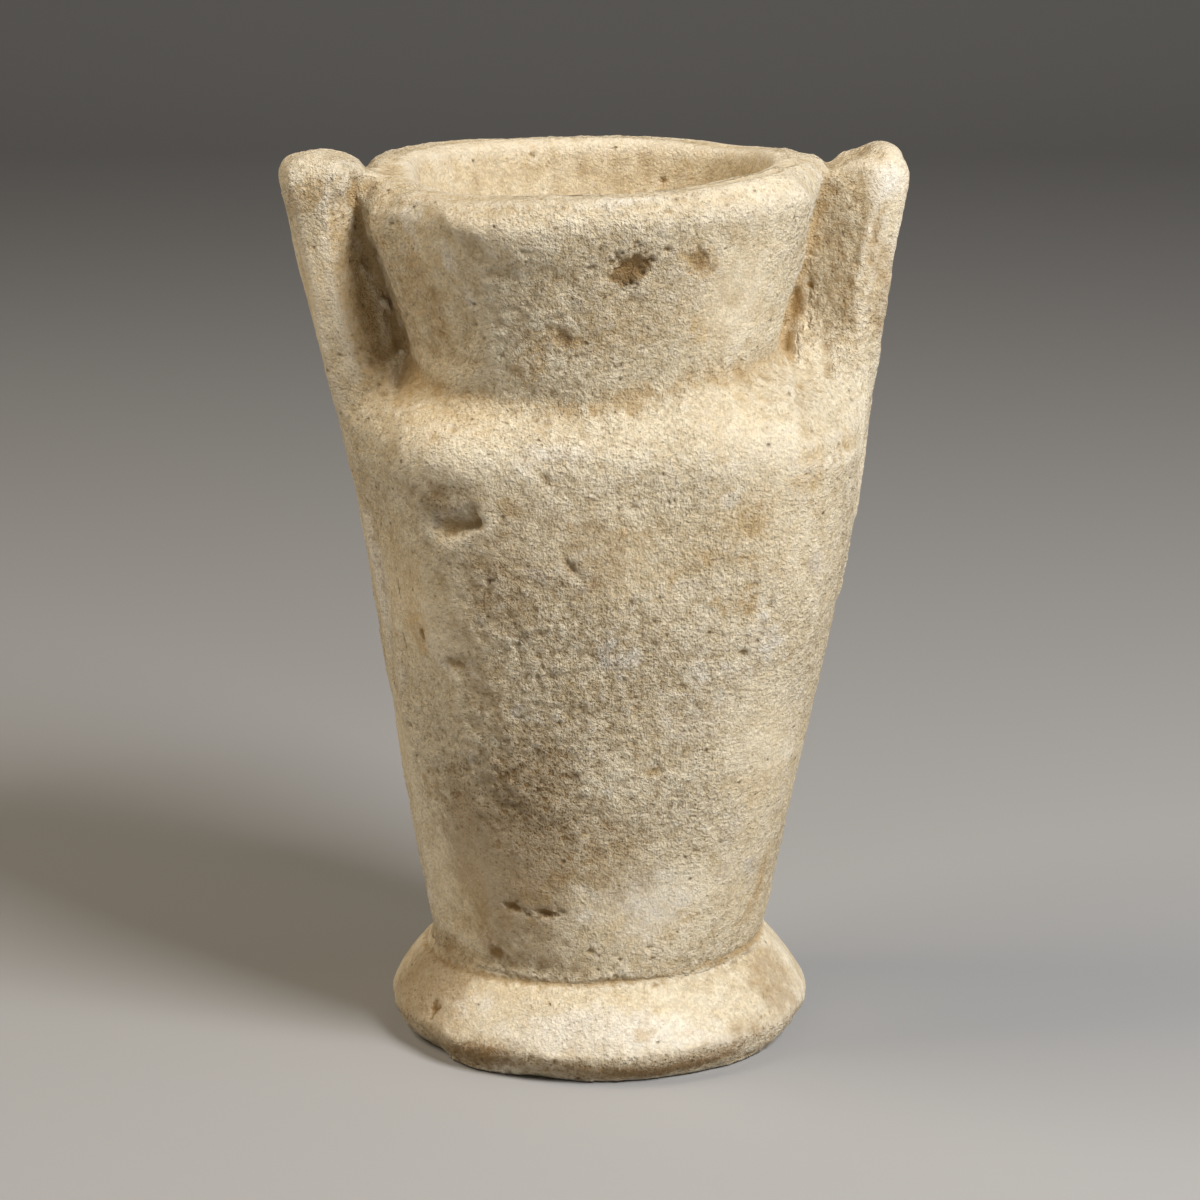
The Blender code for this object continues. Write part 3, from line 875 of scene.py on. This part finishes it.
def addRelief(piece, tree, material):
    points, normals = surfaceOf(piece)
    inner = innerShare(points, normals)
    rough = drift(points, *relief["stoneRough"])
    for *spot, amount in relief["rougher"]:
        share, _, facing = spotShare(points, normals, tree, "front", *spot)
        rough += amount * facing * np.exp(-share ** 2 * 1.5)
    foot = points[:, 2] < footGrooveLevel(270) * mm
    edge = points[:, 2] < relief["footBand"] * mm
    rough = np.where(foot, drift(points, *relief["footRough"]), rough)
    rough = np.where(edge & foot, relief["footBandRough"], rough)
    rough = np.where(inner > 0, relief["hollowRough"], rough)
    sole = (points[:, 2] < 0.6 * mm) & (normals[:, 2] < -0.6)
    rough = np.where(sole, relief["soleRough"], rough)
    share, _, facing = spotShare(points, normals, tree, "front", *relief["tooled"])
    tooled = unit(1.4 - share) * facing * (1 - inner)
    setMask(piece.data, "rough", np.clip(rough, 0.08, 1.3))
    setMask(piece.data, "tooled", tooled)
    setMask(piece.data, "inner", inner)
    values = {name: relief[name] * mm for name in reliefDepths}
    addNodes(piece, reliefTree(material), {**values, "Noise Seed": relief["Noise Seed"]})
    points = pointsOf(piece.data)
    points[:, 2] = np.maximum(points[:, 2], 0)
    # the sole's edge is worn round
    low = unit(1 - points[:, 2] / (relief["soleWearHeight"] * mm)) ** 2
    radius = np.hypot(points[:, 0], points[:, 1])
    points[:, :2] *= (1 - low * relief["soleWear"] * mm / np.maximum(radius, 10 * mm))[:, None]
    setPoints(piece.data, points)
    print("relief on the skin")


# Stains and wear, with painted highlight on the lit tops, as masks for the material

stains = {}  # on the front: place, half length, half height, turn, strength
stains["ochre"] = [
    (-43.8, 135.6, 4.2, 2.2, 48, 1.1),
    (-26, 122, 4, 14, 12, 0.6),
    (5.2, 127.9, 4, 2.8, 35, 0.9),
    (15.5, 128.6, 4.2, 3.4, -40, 0.8),
    (-4.3, 117, 4.2, 2.6, -30, 0.8),
    (-2, 96, 14, 3, 0, 0.45),
    (-22, 104, 16, 4, 0, 0.5),
    (23.3, 89.3, 4.5, 4.5, 0, 0.65),
    (17.3, 83.8, 2.6, 2.4, 0, 0.7),
    (3, 118, 11, 8, 0, 0.5),
    (33.5, 96, 2.4, 5, 0, 0.7),
    (23.4, 83.2, 3.2, 0.9, 0, 0.7),
    (26.2, 27.5, 1.6, 6.5, 0, 0.8),
    (-3, 40.3, 3.4, 3.4, 0, 0.5),
    (9.2, 49.8, 2, 1.4, 0, 0.8),
    (-25, 6, 6, 3.4, 20, 0.8),
    (17.2, 8.1, 6, 2.4, 15, 0.45),
    (-10.8, 129, 7, 2.6, -12, 0.5),
    (0, 130, 11, 3, 3, 0.45),
    (39, 121, 4.5, 17, 8, 0.6),
    (32, 116, 3, 8, 0, 0.5),
    (5.7, 88, 4.4, 1.1, -3, 0.7),
    (-35.4, 120, 3, 14, 8, 1.2),
    (-4, 124, 11, 9, 0, 0.5),
    (-21, 118, 5, 8, 12, 0.4),
    (-24, 8, 6, 4, 18, 0.6),
]
stains["brown"] = [
    (5.4, 127.6, 3.4, 2.2, 35, 1),
    (15.5, 128.6, 2.6, 2.2, -40, 0.65),
    (-4.3, 117, 2.6, 1.6, -30, 0.6),
    (-26.5, 70.2, 0.9, 1.5, 10, 0.9),
    (-21.2, 66.7, 3, 1.1, -10, 0.55),
    (-12.6, 26.8, 1.6, 0.8, -8, 0.9),
    (-7.3, 26.2, 1.9, 0.8, -6, 0.8),
    (-15.4, 18, 1.7, 1.7, 0, 0.8),
    (-25.6, 7.7, 1.3, 1, 0, 0.7),
    (-4, 82.6, 2.6, 0.8, -52, 0.5),
    (-30.6, 77, 0.4, 3.4, 5, 0.8),
    (-29.7, 67.5, 0.4, 2.6, 5, 0.8),
    (12, 1.8, 20, 1.8, 3, 0.75),
    (-18, 3, 10, 2.6, 8, 0.75),
    (31.4, 115.6, 1.2, 5, -4, 0.55),
]
stains["grime"] = [
    (-9, 90, 9, 7, 0, 0.55),
    (-2, 70, 10, 12, 0, 0.3),
    (-18, 34, 9, 18, 6, 0.9),
    (2, 36, 9, 12, 0, 0.6),
    (44.5, 120, 4, 18, 8, 0.6),
    (29, 10, 8, 8, -20, 0.75),
    (-22, 50, 6, 16, 8, 0.4),
    (-21, 22, 7, 6, 18, 0.5),
    (-26, 121, 5, 13, 12, 0.52),
    (-11, 38, 10, 20, -6, 0.95),
    (-17, 62, 7, 16, 8, 0.5),
    (-22, 93, 9, 4.5, 6, 0.65),
    (-5, 100, 12, 2.4, 0, 0.45),
    (-12.5, 121, 3.4, 9, 20, 0.5),
    (-14, 80, 8, 11, 0, 0.62),
    (-20, 3, 12, 3, 8, 0.7),
    (4, 2.2, 24, 2.4, 0, 0.9),
    (-12, 27, 6, 9, 0, 0.45),
    (-10, 17.5, 10, 2, 0, 0.6),
    (0, 85, 9, 11, 0, 0.6),
    (-27, 10.5, 11, 8, 20, 1),
]
stains["violet"] = [
    (-8.5, 81.5, 3.2, 1.4, -50, 0.7),
    (33.5, 81, 1.8, 2.4, 0, 0.8),
    (12, 79.6, 10, 1.4, 0, 0.5),
    (5.3, 75.8, 1.2, 3, 0, 0.6),
    (-2, 92, 5, 4, 0, 0.4),
    (21.5, 40, 2.4, 8, -14, 0.5),
    (20, 32, 4.5, 3.2, 40, 0.5),
]
# pale stone, with painted highlight where the tops face the lamps
stains["pale"] = [
    (9, 28, 9, 8, 0, 0.6),
    (14, 124, 8, 9, 0, 0.4),
    (-33, 76, 3, 14, 8, 0.8),
    (15, 62, 8, 20, 0, 0.45),
    (-22, 128.6, 1.8, 3, 10, 0.8),
    (-19, 123, 1.6, 2.4, 10, 0.6),
    (-14, 137, 9, 1.2, 4, 0.5),
    (4, 137.6, 10, 1.6, 4, 0.6),
    (-44, 138, 3, 2.6, 0, 0.5),
    # painted highlight on the right handle's lit cap
    (44.4, 136.5, 3.4, 4, 0, 0.8),
    (44.5, 120, 2, 12, 8, 0.35),
    # partly the foot's own pale stone, partly painted highlight on its lit slope
    (2, 9, 24, 4.5, 0, 0.75),
    (-20, 10, 7, 3, 20, 0.6),
    # painted highlight on the lit ledge
    (-5, 100.5, 9, 2, 0, 0.6),
    (30, 50, 5, 24, 8, 0.4),
]


# How far the skin lies below its own average over a few steps from point to point, and over many, and
# the depth in mm that counts in full

wear = {
    "fineSteps": 3,
    "fineDepth": 0.14,
    "broadSteps": 24,
    "broadDepth": 0.9,
}


def addMasks(piece, tree):
    mesh = piece.data
    points, normals = surfaceOf(piece)
    stages = blurred(mesh, points, wear["broadSteps"])
    fine = np.sum((stages[wear["fineSteps"] - 1] - points) * normals, axis=1) / mm
    broad = np.sum((stages[-1] - points) * normals, axis=1) / mm
    setMask(mesh, "pores", unit(fine / wear["fineDepth"]))
    setMask(mesh, "worn", unit(-fine / wear["fineDepth"]))
    setMask(mesh, "recess", unit(broad / wear["broadDepth"]))
    for name, spots in stains.items():
        mask = np.zeros(len(points))
        for *spot, strength in spots:
            share, _, facing = spotShare(points, normals, tree, "front", *spot)
            mask = np.maximum(mask, strength * facing * unit(1.35 - share * 0.85))
        setMask(mesh, name, mask)
    print("masks for soil, wear and stains")


# Material: warm cream stone with sand grain, ochre and grey blots, pale blots with painted highlight on the
# lit tops, and soil and painted shade in its hollows

stone = {
    "cream": (0.77, 0.675, 0.495, 1),
    "sand": (0.62, 0.50, 0.32, 1),
    "ochreStain": (0.53, 0.365, 0.165, 1),
    # soil: for soil in pores, stains and hollows, and for the painted shade in the gaps between grains
    "soil": (0.27, 0.165, 0.065, 1),
    "deepSoil": (0.50, 0.335, 0.145, 1),
    "violetStain": (0.50, 0.455, 0.42, 1),
    # pale stone, for pale patches and worn edges, and for the painted highlight on the lit tops
    "paleStainAndHighlight": (0.82, 0.775, 0.69, 1),
    "darkGrain": (0.22, 0.145, 0.075, 1),
    "roughness": (0.84, 0.97),
    "specular": 0.25,
    "bumpHeight": 1.0,
    "smallGrain": 0.42,
    "bigGrain": 0.95,
    "strataTilt": 18,
    "driftSize": 22,
    "mottleSize": 3.2,
    # mask, colour; size, seed, range and most of the blots that lie anywhere; ragged edge, strength
    "blots": [
        ("pale", "paleStainAndHighlight", 12, 8.0, (0.52, 0.72), 0.7, 3.0, 0.65),
        ("violet", "violetStain", 14, 9.0, (0.54, 0.74), 0.6, 3.4, 0.40),
        ("ochre", "ochreStain", 9, 7.0, (0.50, 0.72), 0.75, 1.6, 0.60),
    ],
    "speckRange": (0.84, 1.12),
    "wearStrength": 0.30,
    "poreSoil": 0.42,
    "recessSoil": 0.5,
    "brownSoil": 0.85,
    "grimeSoil": 0.5,
    "pores": 0.6,
}


def grainGroup():
    # sand grains and tool ridges: a light and dark speck, dark gaps and pores, and the height in mm
    takes, gives = ("Vector", "Rough", "Tooled", "Pore Share"), ("Speck", "Gaps", "Pores", "Height")
    tree, given = newTree("sand grain", "ShaderNodeTree", takes, gives)
    place, rough = given["Vector"], given["Rough"]
    fine = cloud(tree, place, 0.5, 3.0, 0.65, 1.0)
    coarse = cloud(tree, place, 1.3, 3.0, 0.6, 2.0)
    bent = vectorSums(tree, "ADD", place, vectorSums(tree, "SCALE", coarse, 0.6 * mm))
    smallCells, bigCells = (
        put(tree, "ShaderNodeTexVoronoi", {"Vector": bent, "Scale": 1 / (stone[size] * mm)})
        for size in ("smallGrain", "bigGrain"))
    small, big = smallCells.outputs["Distance"], bigCells.outputs["Distance"]
    # every grain has a value of its own: it lies higher or lower, is lighter or darker, or is lost
    smallPick, bigPick = (put(tree, "ShaderNodeSeparateXYZ", {0: cells.outputs["Color"]}).outputs[0]
                          for cells in (smallCells, bigCells))

    def lost(pick, distance, share, least):
        missing = sums(tree, "LESS_THAN", pick, timesPlus(tree, rough, share, least))
        return times(tree, missing, ramp(tree, distance, 0.70, 0.25))

    # gaps: lost grains, which sink the height and are darkened in the material as painted shade
    gaps = sums(tree, "MAXIMUM", lost(smallPick, small, 0.22, 0.01), lost(bigPick, big, 0.10, 0.0))
    kept = sums(tree, "LESS_THAN", bigPick, times(tree, given["Pore Share"], 0.5))
    pores = times(tree, ramp(tree, big, 0.34, 0.10), kept)
    mixed = timesPlus(tree, fine, 0.45, times(tree, coarse, 0.25))
    speck = timesPlus(tree, smallPick, 0.3, mixed)
    slant = put(tree, "ShaderNodeVectorRotate", {"Vector": place, "Axis": tuple(awayWay),
                "Angle": math.radians(stone["strataTilt"])}, rotation_type="AXIS_ANGLE").outputs[0]
    strata = cloud(tree, slant, 2.4, 3.0, 0.6, 3.0, (0.6, 0.6, 2.6))

    rounds = timesPlus(tree, times(tree, small, small), -1.0, 1.0)
    height = times(tree, rounds, timesPlus(tree, rough, 0.12, 0.05))
    parts = ((smallPick, 0.16, 0.02), (bigPick, 0.10, 0.0), (fine, 0.75, 0.08), (coarse, 0.85, 0.05),
             (gaps, -0.20, -0.04))
    for value, amount, least in parts:
        height = timesPlus(tree, value, timesPlus(tree, rough, amount, least), height)
    height = timesPlus(tree, strata, times(tree, given["Tooled"], 0.9), height)
    height = timesPlus(tree, pores, -0.3, height)
    put(tree, "NodeGroupOutput", {"Speck": speck, "Gaps": gaps, "Pores": pores, "Height": height})
    return tree


def blotGroup():
    # breaks a soft mask into blots with ragged edges
    takes = ("Vector", "Mask", "Blot Size", "Strength")
    tree, given = newTree("ragged blot", "ShaderNodeTree", takes, ["Mask"])
    scale = sums(tree, "DIVIDE", 1.0, times(tree, given["Blot Size"], mm))
    noise = put(tree, "ShaderNodeTexNoise", {"Vector": given["Vector"], "Scale": scale,
                "Detail": 4.0, "Roughness": 0.65}).outputs[0]
    spread = timesPlus(tree, noise, -1.5, times(tree, given["Mask"], 1.45))
    blot = ramp(tree, spread, -0.28, 0.42)
    blot = times(tree, blot, given["Strength"])
    put(tree, "NodeGroupOutput", {"Mask": blot})
    return tree


def limestoneMaterial():
    material = bpy.data.materials.new("limestone")
    material.use_nodes = True
    tree = material.node_tree
    shader = tree.nodes["Principled BSDF"]
    place = put(tree, "ShaderNodeTexCoord").outputs["Object"]
    blots = blotGroup()

    def mask(name):
        return put(tree, "ShaderNodeAttribute", attribute_name=name).outputs["Fac"]

    def blend(share, first, second, way="MIX"):
        node = put(tree, "ShaderNodeMix", {0: share, 6: first, 7: second}, data_type="RGBA", blend_type=way)
        return node.outputs[2]

    def blot(value, size, strength):
        node = put(tree, "ShaderNodeGroup", {"Vector": place, "Mask": value, "Blot Size": size,
                   "Strength": strength}, node_tree=blots)
        return node.outputs["Mask"]

    rough = mask("rough")
    grain = put(tree, "ShaderNodeGroup", {"Vector": place, "Rough": rough, "Tooled": mask("tooled"),
                "Pore Share": times(tree, rough, 0.08)}, node_tree=grainGroup())

    # the stone itself: broad drifts of cream and sand, then finer mottling
    broad = cloud(tree, place, stone["driftSize"], 3.0, 0.55, 5.0)
    mottle = cloud(tree, place, stone["mottleSize"], 4.0, 0.6, 6.0)
    body = timesPlus(tree, mottle, 0.55, times(tree, broad, 0.45))
    colour = blend(ramp(tree, body, 0.36, 0.64), stone["sand"], stone["cream"])

    # blots that lie anywhere, and the ones that have a place
    # the placed pale blots on the lit tops are painted highlight
    for name, tint, size, seed, (low, high), most, ragged, strength in stone["blots"]:
        anywhere = ramp(tree, cloud(tree, place, size, 3.0, 0.6, seed), low, high, 0.0, most)
        both = sums(tree, "MAXIMUM", mask(name), anywhere)
        colour = blend(blot(both, ragged, strength), colour, stone[tint])

    # sand grain, then soil in pores, pits and crevices, and painted shade in the gaps between grains
    speck = ramp(tree, grain.outputs["Speck"], 0.30, 0.70, *stone["speckRange"])
    grey = put(tree, "ShaderNodeCombineXYZ", {0: speck, 1: speck, 2: speck}).outputs[0]
    colour = blend(1.0, colour, grey, "MULTIPLY")
    worn = times(tree, mask("worn"), stone["wearStrength"])
    colour = blend(worn, colour, stone["paleStainAndHighlight"])
    hollow = times(tree, mask("pores"), stone["poreSoil"])
    colour = blend(hollow, colour, stone["soil"])
    colour = blend(blot(mask("recess"), 1.2, stone["recessSoil"]), colour, stone["deepSoil"])
    colour = blend(blot(mask("brown"), 0.9, stone["brownSoil"]), colour, stone["soil"])
    grime = blot(mask("grime"), 2.4, 1.0)
    # painted shade: the gaps between grains are darkened because the bump casts no shadow, more on rough
    # stone and under grime; the grime is also smeared over them as real dirt
    between = timesPlus(tree, grime, 0.10, timesPlus(tree, rough, 0.22, 0.08))
    smear = times(tree, grime, stone["grimeSoil"])
    dirtAndGapShade = timesPlus(tree, grain.outputs["Gaps"], between, smear, True)
    colour = blend(dirtAndGapShade, colour, stone["soil"])
    pores = times(tree, grain.outputs["Pores"], stone["pores"])
    colour = blend(pores, colour, stone["darkGrain"])
    tree.links.new(colour, shader.inputs["Base Color"])

    low, high = stone["roughness"]
    tree.links.new(ramp(tree, mottle, 0.3, 0.7, high, low), shader.inputs["Roughness"])
    shader.inputs["Specular IOR Level"].default_value = stone["specular"]
    bump = put(tree, "ShaderNodeBump", {"Height": grain.outputs["Height"], "Strength": 1.0,
               "Distance": stone["bumpHeight"] * mm})
    tree.links.new(bump.outputs[0], shader.inputs["Normal"])
    return material


# The jar

jarSizes = {
    "firstGrain": 0.7,
    "firstMelt": 5,
    "sharpen": {"steps": 24, "strength": 0.8, "most": 0.35, "levels": (2, 5)},
    "skinGrain": 0.42,
    "triangles": 197000,
}


def buildJar():
    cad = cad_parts["jar"]
    material = limestoneMaterial()
    jar = mergedCopy(cad, "limestone_jar")
    base = jar.data
    tree = BVHTree.FromPolygons([point.co for point in base.vertices],
                                [tuple(face.vertices) for face in base.polygons])
    addFills(jar)
    print("jar: skin over the solid")
    reskin(jar, jarSizes["firstGrain"], jarSizes["firstMelt"])
    sharpen(jar, **jarSizes["sharpen"])
    shapeFoot(jar)
    carveForms(jar, tree)
    reskin(jar, jarSizes["skinGrain"], 0)
    carveCrevices(jar, tree)
    addCrumbs(jar, tree, material)
    reskin(jar, jarSizes["skinGrain"], 1)
    carveMarks(jar, tree)
    addRelief(jar, tree, material)
    triangles = sum(len(face.vertices) - 2 for face in jar.data.polygons)
    fewer = jar.modifiers.new("fewer faces", "DECIMATE")
    fewer.ratio = min(1.0, jarSizes["triangles"] / triangles)
    settle(jar)
    addMasks(jar, tree)
    jar.data.materials.clear()
    jar.data.materials.append(material)
    jar.data.shade_smooth()
    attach(jar, "root")
    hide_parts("jar")
    print("jar:", len(jar.data.polygons), "faces")


buildStudio()
buildJar()
